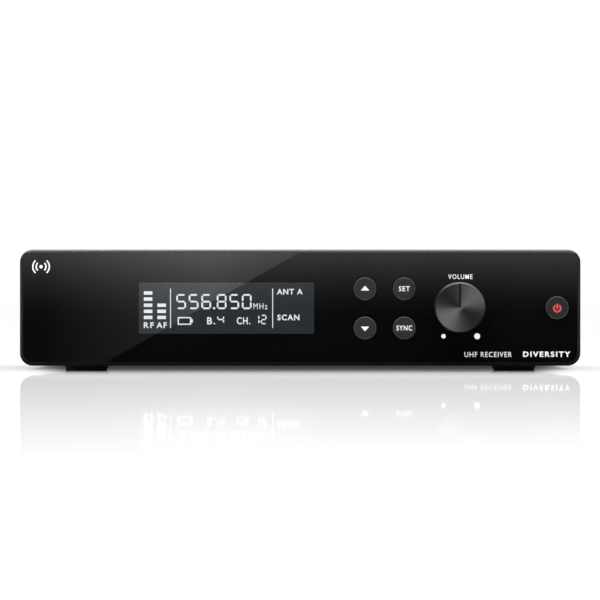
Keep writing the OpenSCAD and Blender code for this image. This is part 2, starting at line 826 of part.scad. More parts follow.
module xlr_shell() {
    color(plastic_black) difference() {
        union() {
            slab(rear(0), rear(xlr_flange_t)) translate(xlr_xz) round_rect([26, 31], 2.5);
            rod(xlr_xz, xlr_barrel_r, rear(-20), rear(1));
        }
        rod(xlr_xz, xlr_bore_d / 2, rear(-21), rear(4));
        for (at = xlr_screws_xz)
            rod(at, 1.65, rear(-1), rear(4));
        brick(xlr_xz + [0, 9.4], [4.6, 2.4], rear(-6), rear(4));
    }
}

module xlr_insert() {
    color(plastic_black) difference() {
        rod(xlr_xz, xlr_bore_d / 2 - touch_gap, rear(-18), xlr_floor_y);
        for (at = xlr_pins_xz)
            rod(at, xlr_root_r + 0.02, rear(-19), rear(0));
    }
}

module xlr_pins() {
    r = xlr_pin_d / 2;
    tip = rear(-0.5);
    color(nickel) for (at = xlr_pins_xz)
        turned(at) polygon([
            [0, rear(-22)], [xlr_root_r, rear(-22)], [xlr_root_r, xlr_floor_y], [r, xlr_floor_y],
            [r, tip - 0.8], [r * 0.85, tip - 0.3], [r * 0.45, tip], [0, tip]
        ]);
}

jack_wall_y = rear(-3.4);
jack_back_y = rear(-33);

module jack_housing() {
    color(plastic_black) difference() {
        block([jack_xz[0] - 8, jack_back_y, board_top], [jack_xz[0] + 8, rear(-1), mid_z + 8]);
        brick(jack_xz, [12.8, 12.4], jack_back_y + 1.5, jack_wall_y);
        rod(jack_xz, jack_nose_r + touch_gap, rear(-4), rear(0));
        for (s = [-1, 1])
            brick(jack_xz + [0, s * 5], [3.2, 0.8], jack_back_y - 1, jack_back_y + 2);
    }
}

module jack_bushing() {
    r = jack_bore_d / 2;
    color(nickel) turned(jack_xz) polygon([
        [r, jack_wall_y - 1.3], [6, jack_wall_y - 1.3], [6, jack_wall_y], [jack_nose_r, jack_wall_y],
        [jack_nose_r, rear(jack_reach - 0.3)], [jack_nose_r - 0.3, rear(jack_reach)], [r, rear(jack_reach)]
    ]);
}

// Two leaf springs, each with a crest that bears on the plug and a tail that leaves through the back wall
module jack_contacts() {
    color(gold) for (s = [0, 1])
        translate([0, 0, mid_z]) mirror([0, 0, s]) cross_slab(jack_xz[0] - 1.5, jack_xz[0] + 1.5) polygon([
            [jack_back_y - 2, 4.75], [jack_back_y + 8, 4.75], [jack_back_y + 12, 3.6],
            [jack_back_y + 16, 4.75], [jack_back_y + 22, 4.75], [jack_back_y + 22, 5.2],
            [jack_back_y - 2, 5.2]
        ]);
}

// ---------------------------------------------------------------- power input and squelch control

module dc_socket() {
    color(plastic_black) difference() {
        brick(dc_xz, dc_size, rear(-13), rear(1));
        rod(dc_xz, dc_bore_r, dc_floor_y, rear(2));
        rod(dc_xz, dc_root_r + 0.02, dc_tail_y, rear(0));
    }
}

module dc_pin() {
    color(nickel) turned(dc_xz) polygon([
        [0, dc_tail_y], [dc_root_r, dc_tail_y], [dc_root_r, dc_floor_y], [dc_pin_r, dc_floor_y],
        [dc_pin_r, rear(-0.5)], [dc_pin_r * 0.5, rear(0)], [0, rear(0)]
    ]);
}

module squelch_pot() {
    color("#2c4a7a") difference() {
        union() {
            block([squelch_xz[0] - 4.9, rear(-8.5), board_top],
                  [squelch_xz[0] + 4.9, rear(-1), mid_z + 4.9]);
            rod(squelch_xz, pot_nose_r, rear(-2), rear(2.8));
        }
        rod(squelch_xz, shaft_r + touch_gap, rear(-7), rear(4));
    }
}

module squelch_shaft() {
    color(nickel) {
        rod(squelch_xz, shaft_r, rear(-6.8), squelch_base_y);
        d_rod(squelch_xz, shaft_r, flat_z, squelch_base_y, rear(9));
    }
}

squelch_knob_r = 5.5;
squelch_flutes = 18;
squelch_base_y = rear(3.4);

module squelch_knob() {
    base = squelch_base_y;
    face = rear(11);
    color(plastic_black) difference() {
        turned(squelch_xz) polygon([
            [0, base], [squelch_knob_r, base], [squelch_knob_r, face - 0.6],
            [squelch_knob_r - 0.6, face], [0, face]
        ]);
        d_rod(squelch_xz, shaft_r + 0.03, flat_z + 0.03, base - 1, rear(9.2));
        for (i = [0:squelch_flutes - 1])
            rod(squelch_xz + 5.75 * [cos(i * 360 / squelch_flutes), sin(i * 360 / squelch_flutes)],
                0.5, base + 1, face + 1);
        brick(squelch_xz + [0, 2.8], [0.6, 4.2], face - 0.5, face + 1);
    }
}

// J-shaped hook that takes the pull of the power lead
module cable_hook() {
    out = 11;
    t = 2.4;
    bottom = mid_z - 12;
    color(plastic_black) {
        block([hook_x - 6, rear(0), bottom], [hook_x + 6, rear(1.6), mid_z + 8]);
        for (at = hook_pegs_xz)
            rod(at, hook_peg_r, rear(-2.2), rear(0.5));
        cross_slab(hook_x - 3.5, hook_x + 3.5) {
            translate([rear(1), bottom]) square([out - 1 - 4, t]);
            translate([rear(out - 4), bottom + 4]) intersection() {
                difference() {
                    circle(4);
                    circle(4 - t);
                }
                translate([0, -4]) square(4);
            }
            translate([rear(out - t), bottom + 4]) square([t, 8]);
        }
    }
}

// ---------------------------------------------------------------- drawing

top_cover();
chassis_tray();
rear_panel();
front_bezel();
front_panel();
display_window();
lcd_glass();
lcd_frame();
lcd_backlight();
front_carrier();
front_board();
key_switches();
key_up();
key_down();
key_set();
key_sync();
power_key();
power_light_guide();
plunger_up();
plunger_down();
plunger_set();
plunger_sync();
plunger_power();
power_led();
volume_pot();
volume_shaft();
volume_knob();
ribbon_cable();
ribbon_sockets();
main_board();
tuner_shield_a();
tuner_shield_b();
ic_chips();
electrolytic_capacitors();
power_inductor();
antenna_lead_a();
antenna_lead_b();
antenna_socket_a();
antenna_socket_b();
antenna_insulators();
antenna_contacts();
panel_nuts();
panel_washers();
xlr_shell();
xlr_insert();
xlr_pins();
jack_housing();
jack_bushing();
jack_contacts();
dc_socket();
dc_pin();
squelch_pot();
squelch_shaft();
squelch_knob();
cable_hook();
rubber_feet();
rack_nuts();
board_standoffs();
board_screws();
housing_screws();
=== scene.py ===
import json
import math

import bmesh
import bpy
from mathutils import Matrix, Vector


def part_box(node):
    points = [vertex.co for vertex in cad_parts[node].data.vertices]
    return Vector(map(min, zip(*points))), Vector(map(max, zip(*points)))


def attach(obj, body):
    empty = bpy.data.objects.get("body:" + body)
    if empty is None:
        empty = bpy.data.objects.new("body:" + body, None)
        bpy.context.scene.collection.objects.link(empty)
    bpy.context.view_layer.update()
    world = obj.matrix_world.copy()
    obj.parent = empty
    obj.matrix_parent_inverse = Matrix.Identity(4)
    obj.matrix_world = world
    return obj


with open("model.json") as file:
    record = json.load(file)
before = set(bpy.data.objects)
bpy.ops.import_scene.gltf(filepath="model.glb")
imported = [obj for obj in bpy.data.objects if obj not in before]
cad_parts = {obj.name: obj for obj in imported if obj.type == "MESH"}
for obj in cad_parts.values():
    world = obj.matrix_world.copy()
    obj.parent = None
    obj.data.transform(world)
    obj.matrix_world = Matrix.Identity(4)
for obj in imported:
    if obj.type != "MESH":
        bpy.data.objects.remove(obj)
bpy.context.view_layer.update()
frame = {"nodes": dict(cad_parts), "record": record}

# The looks of a half-width wireless receiver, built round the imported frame: finishes for the CAD nodes,
# white printing, the display's picture and a studio. Places are in metres, and MM turns mm into metres.

MM = 0.001
NODES = frame["nodes"]
ROOT = "receiver"


def middle(node_name):
    """The middle of a CAD node's box."""
    low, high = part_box(node_name)
    return (low + high) / 2


PANEL_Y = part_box("front_panel")[0].y
REAR_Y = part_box("rear_panel")[1].y
MID_Z = middle("front_panel").z


# ------------------------------------------------------------------ shader nodes

def node(tree, kind, links=None, values=None, **settings):
    """A shader node with its settings, its values and what feeds its inputs."""
    made = tree.nodes.new("ShaderNode" + kind)
    for key, value in settings.items():
        setattr(made, key, value)
    for key, value in (values or {}).items():
        made.inputs[key].default_value = value
    for key, source in (links or {}).items():
        tree.links.new(source, made.inputs[key])
    return made


def grey(level):
    """A colour that is white at 1 and black at 0."""
    return (level, level, level, 1)


def here(tree):
    """The object's own coordinates, as a vector."""
    return node(tree, "TexCoord").outputs["Object"]


def axes(tree, vector):
    """The X, Y and Z of a vector."""
    return node(tree, "SeparateXYZ", {"Vector": vector}).outputs


def normal(tree):
    """Which way the surface faces, as a vector."""
    return node(tree, "NewGeometry").outputs["Normal"]


def maths(tree, operation, first, second=None):
    """A sum, product or the like. The second operand is a socket, a number or left out."""
    if isinstance(second, bpy.types.NodeSocket):
        return node(tree, "Math", {0: first, 1: second}, operation=operation).outputs[0]
    values = {} if second is None else {1: second}
    return node(tree, "Math", {0: first}, values, operation=operation).outputs[0]


def product(tree, *factors):
    """All factors multiplied."""
    total = factors[0]
    for factor in factors[1:]:
        total = maths(tree, "MULTIPLY", total, factor)
    return total


def noise(tree, coords, size, detail=3.0):
    """Noise whose features are about this many millimetres across."""
    made = node(tree, "TexNoise", {"Vector": coords}, {"Scale": 1 / (size * MM), "Detail": detail})
    return made.outputs["Fac"]


def span(tree, source, low, high, start=0.3, end=0.7):
    """Maps a source from start..end to low..high, in a straight line."""
    made = node(tree, "MapRange", {"Value": source},
                {"From Min": start, "From Max": end, "To Min": low, "To Max": high})
    return made.outputs["Result"]


def mask(tree, source, start, end, low=0.0, high=1.0):
    """Low where the source is before start and high where it is past end, with a smooth step between."""
    made = node(tree, "MapRange", {"Value": source},
                {"From Min": start, "From Max": end, "To Min": low, "To Max": high},
                interpolation_type="SMOOTHSTEP")
    return made.outputs["Result"]


def relief(tree, height, strength, depth):
    """Makes the surface rough to the light, by a height that stands for depth mm."""
    made = node(tree, "Bump", {"Height": height}, {"Strength": strength, "Distance": depth * MM})
    tree.links.new(made.outputs["Normal"], tree.nodes["Principled BSDF"].inputs["Normal"])


# ------------------------------------------------------------------ finishes

SMOOTHEST = 0.003                            # the least roughness of any finish


def new_material(name):
    """A material, its node tree and its shader."""
    made = bpy.data.materials.new(name)
    made.use_nodes = True
    return made, made.node_tree, made.node_tree.nodes["Principled BSDF"]


def finish(name, colour, roughness, grain=0.4, bump=0.0, tint=0.12, polish=0.05, patch=18.0, **sockets):
    """A procedural finish. Colour and roughness drift in patches, and a fine grain stands out by bump mm.

    The colour drifts by the share tint, and the roughness by polish. Grain and patch are sizes in mm.
    """
    made, tree, shader = new_material(name)
    for key, value in sockets.items():
        shader.inputs[key.replace("_", " ")].default_value = value
    coords = here(tree)
    patches = noise(tree, coords, patch, 4.0)
    fine = noise(tree, coords, grain)
    dark = [c * (1 - tint) for c in colour] + [1]
    light = [min(1, c * (1 + tint)) for c in colour] + [1]
    tone = node(tree, "Mix", {0: patches}, {"A": dark, "B": light}, data_type="RGBA")
    tree.links.new(tone.outputs["Result"], shader.inputs["Base Color"])
    worn = product(tree, patches, fine)
    rough = span(tree, worn, max(SMOOTHEST, roughness - polish), roughness + polish, 0.1, 0.4)
    tree.links.new(rough, shader.inputs["Roughness"])
    if bump:
        relief(tree, fine, 1.0, bump)
    return made, tree, shader


def plain(*arguments, **settings):
    """A finish with nothing added."""
    return finish(*arguments, **settings)[0]


def repaint(tree, factor, colour, roughness=None):
    """Lays another colour, and another roughness if one is given, over a finish where the factor is 1."""
    shader = tree.nodes["Principled BSDF"]
    under = shader.inputs["Base Color"].links[0].from_socket
    over = node(tree, "Mix", {0: factor, "A": under}, {"B": (*colour, 1)}, data_type="RGBA")
    tree.links.new(over.outputs["Result"], shader.inputs["Base Color"])
    if roughness is not None:
        old = shader.inputs["Roughness"].links[0].from_socket
        mixed = node(tree, "Mix", {0: factor, 2: old}, {3: roughness})
        tree.links.new(mixed.outputs[0], shader.inputs["Roughness"])


def knob_finish(name, colour):
    """Metal turned on a lathe, whose fine rings stretch reflections outwards, with a black groove."""
    made, tree, shader = finish(name, colour, 0.42, grain=0.5, tint=0.06, polish=0.03, Metallic=1.0,
                                Anisotropic=0.88, Anisotropic_Rotation=0.25)
    tangent = node(tree, "Tangent", direction_type="RADIAL", axis="Y")
    tree.links.new(tangent.outputs["Tangent"], shader.inputs["Tangent"])
    low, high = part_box("volume_knob")
    knob = middle("volume_knob")
    place = axes(tree, here(tree))
    beside = maths(tree, "ABSOLUTE", maths(tree, "SUBTRACT", place["X"], knob.x))
    groove = product(
        tree,
        mask(tree, place["Y"], low.y + 0.45 * MM, low.y + 0.5 * MM),
        mask(tree, beside, 0.38 * MM, 0.34 * MM),
        mask(tree, place["Z"], knob.z - 0.6 * MM, knob.z),
        mask(tree, place["Z"], high.z - 0.2 * MM, high.z - 0.5 * MM))
    repaint(tree, groove, (0.001, 0.001, 0.001), 0.6)
    metal = node(tree, "Mix", {0: groove}, {2: 1.0, 3: 0.0})
    tree.links.new(metal.outputs[0], shader.inputs["Metallic"])
    return made


def key_finish(name, grey, glow_from=None):
    """Moulded plastic, with a painted highlight on its rounded edge. A lit sign glows into the plastic near
    it.
    """
    made, tree, shader = finish(name, (grey, grey, grey * 1.02), 0.42, grain=0.12, bump=0.003)
    forward = axes(tree, normal(tree))["Y"]
    # painted highlight: every face that turns away from the front (the rounded edge and the sides) is made
    # lighter and glossier
    repaint(tree, mask(tree, forward, -0.98, -0.8), (0.17, 0.17, 0.17), 0.3)
    if glow_from is not None:
        apart = node(tree, "VectorMath", {0: here(tree)}, {1: glow_from}, operation="DISTANCE")
        uneven = span(tree, noise(tree, here(tree), 0.8), 0.2, 0.26)
        shader.inputs["Emission Color"].default_value = (0.9, 0.01, 0.02, 1)
        glow = product(tree, mask(tree, apart.outputs["Value"], 2.1 * MM, 0.7 * MM), uneven)
        tree.links.new(glow, shader.inputs["Emission Strength"])
    return made


def bezel_finish(name):
    """Satin black, with a painted highlight on the rounded upper edge and painted shade on the faces that
    look downwards.
    """
    made, tree, _ = finish(name, (0.036, 0.036, 0.037), 0.27, grain=0.25, bump=0.004, polish=0.04)
    upward = axes(tree, normal(tree))["Z"]
    height = axes(tree, here(tree))["Z"]
    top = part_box("front_bezel")[1].z
    # painted highlight: the rounded faces near the top edge are made lighter
    rounded = mask(tree, upward, 0.99, 0.9)
    painted_top_highlight = product(tree, mask(tree, height, top - 1.5 * MM, top - 1.2 * MM), rounded)
    repaint(tree, painted_top_highlight, (0.12, 0.12, 0.12))
    # painted shade: every face that looks downwards is made darker
    repaint(tree, mask(tree, upward, -0.02, -0.2), (0.01, 0.01, 0.01))
    return made


def foot_finish(name):
    """Matt rubber, with painted light that turns it grey towards the floor."""
    made, tree, _ = finish(name, (0.014, 0.014, 0.015), 0.75, grain=0.3, bump=0.03, polish=0.1)
    height = axes(tree, here(tree))["Z"]
    # painted light: the lowest 1.5 mm of each foot is made light grey
    repaint(tree, mask(tree, height, 1.5 * MM, 0.2 * MM), (0.16, 0.155, 0.15))
    return made


def brushed(name, colour, roughness, direction):
    """Sheet metal with a straight rolling grain along direction, a scale for each axis."""
    made, tree, _ = finish(name, colour, roughness, grain=1.0, tint=0.08, polish=0.06, Metallic=1.0)
    stretched = node(tree, "Mapping", {"Vector": here(tree)}, {"Scale": direction}).outputs["Vector"]
    relief(tree, noise(tree, stretched, 0.25), 0.6, 0.008)
    return made


def clear_window(name):
    """Tinted acrylic that shows the display behind it."""
    made, tree, shader = new_material(name)
    shader.inputs["Base Color"].default_value = (0.62, 0.66, 0.7, 1)
    shader.inputs["Transmission Weight"].default_value = 1.0
    shader.inputs["IOR"].default_value = 1.7
    smudge = noise(tree, here(tree), 22, 5.0)
    tree.links.new(span(tree, smudge, 0.0, 0.006), shader.inputs["Roughness"])
    return made


def lit(name, colour, strength, **sockets):
    """A surface that glows, with a slight unevenness."""
    unlit = [c * 0.12 for c in colour]
    made, tree, shader = finish(name, unlit, 0.35, grain=0.6, tint=0.05, **sockets)
    shader.inputs["Emission Color"].default_value = (*colour, 1)
    glow = span(tree, noise(tree, here(tree), 3.0), strength * 0.92, strength * 1.06)
    tree.links.new(glow, shader.inputs["Emission Strength"])
    return made


def circuit_board(name):
    """Green solder resist over copper areas."""
    made, tree, shader = finish(name, (0.012, 0.1, 0.05), 0.32, grain=0.8, tint=0.15, Coat_Weight=0.4)
    cells = node(tree, "TexBrick", {"Vector": here(tree)},
                 {"Scale": 1 / (4 * MM), "Mortar Size": 0.06, "Color1": (0.02, 0.17, 0.08, 1),
                  "Color2": (0.012, 0.09, 0.045, 1), "Mortar": (0.006, 0.05, 0.03, 1)})
    tree.links.new(cells.outputs["Color"], shader.inputs["Base Color"])
    relief(tree, cells.outputs["Fac"], 0.5, 0.03)
    return made


def make_materials():
    """One finish for each material slot of the record, and the inks."""
    return {
        "housing_steel": plain("black_powder_coat", (0.016, 0.016, 0.018), 0.5, grain=0.35, bump=0.022,
                               polish=0.025, patch=60),
        "bezel_metal": bezel_finish("bezel_satin"),
        "panel_gloss": plain("panel_gloss", (0.0052, 0.0052, 0.0055), 0.005, grain=12, tint=0.3,
                             polish=0.002),
        "window": clear_window("window_acrylic"),
        "lcd_cell": lit("lcd_cell", (0.043, 0.047, 0.053), 1.0, Specular_IOR_Level=0.08),
        "lcd_light": plain("light_guide_white", (0.78, 0.8, 0.82), 0.5, bump=0.01),
        "tinned_steel": brushed("tinned_steel", (0.52, 0.53, 0.55), 0.34, (1, 14, 1)),
        "carrier_plastic": plain("carrier_plastic", (0.02, 0.02, 0.021), 0.55, bump=0.015),
        "board_laminate": circuit_board("circuit_board"),
        "key_plastic": key_finish("key_plastic", 0.05),
        "light_guide": lit("red_light_guide", (0.85, 0.13, 0.13), 0.95),
        "plunger_plastic": plain("plunger_plastic", (0.2, 0.03, 0.02), 0.45, bump=0.01),
        "led_resin": plain("led_resin", (0.85, 0.8, 0.65), 0.15, Coat_Weight=0.5),
        "knob_metal": knob_finish("knob_spun", (0.12, 0.12, 0.123)),
        "shaft_metal": brushed("shaft_metal", (0.6, 0.6, 0.61), 0.25, (1, 12, 1)),
        "switch_body": plain("switch_body", (0.03, 0.03, 0.032), 0.5, bump=0.01),
        "ribbon": plain("ribbon_film", (0.78, 0.79, 0.8), 0.3, grain=1.0),
        "cream_plastic": plain("cream_plastic", (0.72, 0.66, 0.5), 0.45, bump=0.01),
        "chip_resin": plain("chip_resin", (0.012, 0.012, 0.013), 0.55, grain=0.1, bump=0.008),
        "capacitor_sleeve": plain("capacitor_sleeve", (0.02, 0.035, 0.1), 0.22, Coat_Weight=0.3),
        "ferrite": plain("ferrite", (0.06, 0.05, 0.045), 0.7, bump=0.04),
        "lead_jacket": plain("lead_jacket", (0.05, 0.03, 0.02), 0.4, bump=0.01),
        "nickel": plain("nickel_plate", (0.66, 0.65, 0.62), 0.2, grain=0.3, bump=0.002, polish=0.06,
                        Metallic=1.0),
        "gold_contact": plain("gold_contact", (0.82, 0.58, 0.24), 0.2, bump=0.002, Metallic=1.0),
        "white_insulator": plain("white_insulator", (0.82, 0.81, 0.76), 0.35, bump=0.004),
        "socket_plastic": plain("socket_plastic", (0.017, 0.017, 0.018), 0.42, grain=0.2, bump=0.01,
                                polish=0.08),
        "squelch_blue": plain("squelch_blue", (0.03, 0.08, 0.22), 0.4, bump=0.008),
        "foot_rubber": foot_finish("foot_rubber"),
        # the white ink also glows a little: painted light that keeps it bright under the dim front light
        "white_ink": plain("white_ink", (0.8, 0.8, 0.8), 0.45, grain=0.15, tint=0.04, bump=0.002,
                           Emission_Color=grey(1), Emission_Strength=0.6),
        "segment": lit("display_segment", (0.98, 0.99, 0.97), 1.42),
    }


MATERIALS = make_materials()
POWER_SIGN_DROP = 0.25                       # how far the power sign is below the key's middle, in mm


def dress_nodes():
    """Gives every CAD node the finish of its slot, and the power key one that its sign lights."""
    for row in frame["record"]["subparts"]:
        target = NODES[row["node"]]
        target.data.materials.clear()
        target.data.materials.append(MATERIALS[row["material_slot"]])
    sign = middle("power_key") - Vector((0, 0, POWER_SIGN_DROP * MM))
    sign.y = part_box("power_key")[0].y
    NODES["power_key"].data.materials[0] = key_finish("power_key_plastic", 0.037, sign)


# Nodes whose sharp edges are broken, and by how many mm
FOLDED_SHEETS = (["top_cover", "chassis_tray", "rear_panel"], 0.15)
FITTINGS = (["xlr_shell", "dc_socket", "cable_hook", "jack_bushing", "panel_nuts", "squelch_knob",
             "rack_nuts"], 0.2)


def soften(names, width):
    """Breaks the sharp edges of CAD nodes by width mm, as deburring, moulding and paint do."""
    for name in names:
        target = NODES[name]
        custom = target.data.attributes.get("custom_normal")
        if custom:
            target.data.attributes.remove(custom)
        weld = target.modifiers.new("weld", "WELD")
        weld.merge_threshold = 0.002 * MM
        flat = target.modifiers.new("flat", "DECIMATE")
        flat.decimate_type = "DISSOLVE"
        flat.angle_limit = math.radians(0.2)
        bevel = target.modifiers.new("edge", "BEVEL")
        bevel.width = width * MM
        bevel.segments = 2
        bevel.limit_method = "ANGLE"
        bevel.angle_limit = math.radians(35)
        bevel.harden_normals = True
        bevel.miter_outer = "MITER_ARC"
        target.modifiers.new("normals", "WEIGHTED_NORMAL").keep_sharp = True


# ------------------------------------------------------------------ printing

# From here to the studio a place is (across, up) and a size is (width, height), both in mm, as they look to
# someone who faces the print.

INK = 0.03                                   # how far printing stands out, in mm
LETTER_SPACING = (1.18, 1.3)                 # the least and the most that letters are spread
DIAL_SHIFT = 0.6                             # how far the dial's print is right of the knob's middle, in mm


def evaluated_mesh(curve):
    """The mesh that a curve or a text makes."""
    temporary = bpy.data.objects.new("temporary", curve)
    bpy.context.scene.collection.objects.link(temporary)
    graph = bpy.context.evaluated_depsgraph_get()
    made = bpy.data.meshes.new_from_object(temporary.evaluated_get(graph))
    bpy.data.objects.remove(temporary)
    return made


def plate(*loops):
    """A thin plate from closed outlines. An outline inside another is a hole."""
    curve = bpy.data.curves.new("outline", "CURVE")
    curve.dimensions = "2D"
    curve.fill_mode = "BOTH"
    curve.extrude = INK / 2
    for loop in loops:
        spline = curve.splines.new("POLY")
        spline.points.add(len(loop) - 1)
        for point, (across, up) in zip(spline.points, loop):
            point.co = (across, up, 0, 1)
        spline.use_cyclic_u = True
    return evaluated_mesh(curve)


def word(text, centre, size, bold=0.0):
    """A word in Blender's own font, with its letters spread and then stretched to fill a size."""
    curve = bpy.data.curves.new("word", "FONT")
    curve.body = text
    curve.offset = bold
    curve.resolution_u = 3

    def measure(spacing):
        curve.space_character = spacing
        made = evaluated_mesh(curve)
        return [[end(v.co[i] for v in made.vertices) for end in (min, max)] for i in (0, 1)]

    (left, right), (bottom, top) = measure(1.0)
    wide_left, wide_right = measure(2.0)[0]
    wanted = size[0] * (top - bottom) / size[1]
    grown = (wide_right - wide_left) - (right - left)
    least, most = LETTER_SPACING
    (left, right), (bottom, top) = measure(min(most, max(least, 1 + (wanted - right + left) / grown)))
    curve.extrude = INK / 2
    solid = evaluated_mesh(curve)
    scale = Matrix.Diagonal((size[0] / (right - left), size[1] / (top - bottom), 1, 1))
    shift = Matrix.Translation((centre[0], centre[1], 0))
    solid.transform(shift @ scale @ Matrix.Translation((-(left + right) / 2, -(bottom + top) / 2, 0)))
    return solid


def box_loop(centre, size):
    """The outline of a rectangle."""
    x, y = size[0] / 2, size[1] / 2
    return [(centre[0] + a, centre[1] + b) for a, b in ((-x, -y), (x, -y), (x, y), (-x, y))]


def arc(centre, radius, start, end, steps=48):
    """Points along an arc, in degrees anticlockwise from the right."""
    turns = [math.radians(start + (end - start) * i / steps) for i in range(steps + 1)]
    return [(centre[0] + radius * math.cos(t), centre[1] + radius * math.sin(t)) for t in turns]


def disc_loop(centre, radius):
    """The outline of a disc."""
    return arc(centre, radius, 0, 360)[:-1]


def band_loop(centre, radius, width, start, end):
    """The outline of a stripe that follows an arc."""
    outer = arc(centre, radius + width / 2, start, end)
    return outer + arc(centre, radius - width / 2, end, start)


def printed(name, meshes, origin, ink, body, facing=-1):
    """One piece of printing that rides on a body. Its face looks along -Y (facing -1) or +Y (facing 1)."""
    joined = bmesh.new()
    for flat in meshes:
        joined.from_mesh(flat)
    place = Matrix((
        (-facing * MM, 0, 0, origin[0]),
        (0, 0, facing * MM, origin[1] + facing * INK / 2 * MM),
        (0, MM, 0, origin[2]),
        (0, 0, 0, 1)))
    bmesh.ops.transform(joined, matrix=place, verts=joined.verts)
    bmesh.ops.remove_doubles(joined, verts=joined.verts, dist=1e-7)
    bmesh.ops.recalc_face_normals(joined, faces=joined.faces)
    made = bpy.data.meshes.new(name)
    joined.to_mesh(made)
    made.materials.append(MATERIALS[ink])
    piece = bpy.data.objects.new(name, made)
    bpy.context.scene.collection.objects.link(piece)
    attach(piece, body)


def wave_symbol(centre):
    """A generic radio symbol: a dot with a pair of waves on each side of it."""
    half_turn = 48
    loops = [disc_loop(centre, 0.62)]
    for radius in (1.75, 2.95):
        loops += [band_loop(centre, radius, 0.5, side - half_turn, side + half_turn) for side in (0, 180)]
    return [plate(loop) for loop in loops]


def print_front_panel():
    """White printing on the front panel, by its distance from the panel's middle."""
    dial_x = middle("volume_knob").x / MM + DIAL_SHIFT
    meshes = [
        word("VOLUME", (dial_x, 11.05), (8.75, 1.7), 0.012),
        plate(disc_loop((dial_x - 6, -10.2), 0.78)),
        plate(disc_loop((dial_x + 6, -10.2), 1.05)),
        word("UHF RECEIVER", (67.0, -16.7), (16.85, 1.85)),
        word("DIVERSITY", (87.9, -16.6), (16.85, 1.95), 0.03),
    ]
    meshes += wave_symbol((-92.4, 14.6))
    printed("panel_print", meshes, (0, PANEL_Y, MID_Z), "white_ink", ROOT)


def print_keys():
    """The signs on the four round keys. Each rides on its own key, and the arrows are off its middle."""
    triangle = [(-1.5, -0.8), (1.5, -0.8), (0, 0.85)]
    signs = {
        "up": (plate(triangle), 0.18),
        "down": (plate([(across, -up) for across, up in triangle]), -0.3),
        "set": (word("SET", (0, 0), (3.95, 1.8), 0.015), 0),
        "sync": (word("SYNC", (0, 0), (5.6, 1.85), 0.015), 0),
    }
    for name, (sign, lift) in signs.items():
        place = middle("key_" + name)
        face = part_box("key_" + name)[0].y
        printed("sign_" + name, [sign], (place.x, face, place.z + lift * MM), "white_ink", name + "_key")


# ------------------------------------------------------------------ display

# Which of the seven strokes a figure lights, in this order: top, upper right, lower right, bottom,
# lower left, upper left, middle
STROKES = {"0": "1111110", "1": "0110000", "2": "1101101", "4": "0110011", "5": "1011011", "6": "1011111",
           "8": "1111111"}
STROKE_GAP = 0.12                            # how far a stroke's tip keeps from the figure's corner, in mm
PICTURE_SHIFT = 0.17                         # how far the picture is right of the window's middle, in mm


def stroke_loop(start, end, width):
    """One stroke of a figure, with pointed ends, between two corners of the figure."""
    a, b = Vector(start), Vector(end)
    along = (b - a).normalized()
    side = Vector((-along.y, along.x)) * width / 2
    a += along * STROKE_GAP
    b -= along * STROKE_GAP
    tip = along * width / 2
    return [tuple(p) for p in (a, a + tip - side, b - tip - side, b, b - tip + side, a + tip + side)]


def figure(value, centre, size, width):
    """A seven-stroke figure, with strokes of a width."""
    x, y = (size[0] - width) / 2, (size[1] - width) / 2
    corner = {"tl": (-x, y), "tr": (x, y), "ml": (-x, 0), "mr": (x, 0), "bl": (-x, -y), "br": (x, -y)}
    ends = [("tl", "tr"), ("tr", "mr"), ("mr", "br"), ("bl", "br"), ("ml", "bl"), ("tl", "ml"),
            ("ml", "mr")]
    meshes = []
    for on, pair in zip(STROKES[value], ends):
        if on == "1":
            start, end = (tuple(c + centre[i] for i, c in enumerate(corner[key])) for key in pair)
            meshes.append(plate(stroke_loop(start, end, width)))
    return meshes


def level_bars():
    """The two columns of bars at the left, and their names."""
    meshes = []
    for across, count in ((-28.15, 5), (-23.3, 3)):
        meshes += [plate(box_loop((across, -3.35 + i * 2.18), (3.05, 1.2))) for i in range(count)]
    names = [word("RF", (-27.9, -6.1), (3.6, 2.1), 0.025), word("AF", (-23.3, -6.1), (3.7, 2.1), 0.025)]
    return meshes + names


def frequency():
    """The large figures, their point and their unit."""
    meshes = []
    for value, across in zip("556850", (-16.35, -11.9, -7.4, -1.9, 2.6, 7.05)):
        meshes += figure(value, (across, 2.3), (3.5, 5.4), 0.62)
    return meshes + [plate(box_loop((-4.6, -0.05), (0.75, 0.75))), word("MHz", (11.95, 0.65), (5.0, 2.1))]


def battery():
    """A battery's outline with its knob at the right."""
    shell = [(-17.6, -3.2), (-12.9, -3.2), (-12.6, -4.0), (-12.15, -4.0), (-12.15, -5.2), (-12.6, -5.2),
             (-12.9, -6.0), (-17.6, -6.0)]
    return [plate(shell, box_loop((-15.2, -4.6), (3.9, 1.9)))]


def bank_and_channel():
    """B. 4 and CH. 12 in the lower row."""
    meshes = [word("B.", (-5.65, -4.55), (2.9, 2.6), 0.02), word("CH.", (5.9, -4.55), (4.8, 2.6), 0.02)]
    meshes += figure("4", (-2.25, -4.1), (2.5, 2.9), 0.45)
    meshes += figure("1", (10.6, -4.1), (2.0, 3.4), 0.45)
    meshes += figure("2", (13.1, -4.1), (2.1, 3.4), 0.45)
    return meshes


def draw_display():
    """The display's picture on the cell behind the window, by its distance from the window's middle."""
    rules = [plate(box_loop((across, -0.1), (0.3, 14.1))) for across in (-20.15, 16.3)]
    modes = [word("ANT A", (22.4, 5.85), (9.2, 2.0), 0.03), word("SCAN", (21.9, -3.35), (7.9, 2.1), 0.03)]
    meshes = level_bars() + rules + frequency() + battery() + bank_and_channel() + modes
    window = middle("display_window")
    cell_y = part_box("lcd_glass")[0].y
    printed("display_picture", meshes, (window.x + PICTURE_SHIFT * MM, cell_y, window.z), "segment", ROOT)


# ------------------------------------------------------------------ rear labels

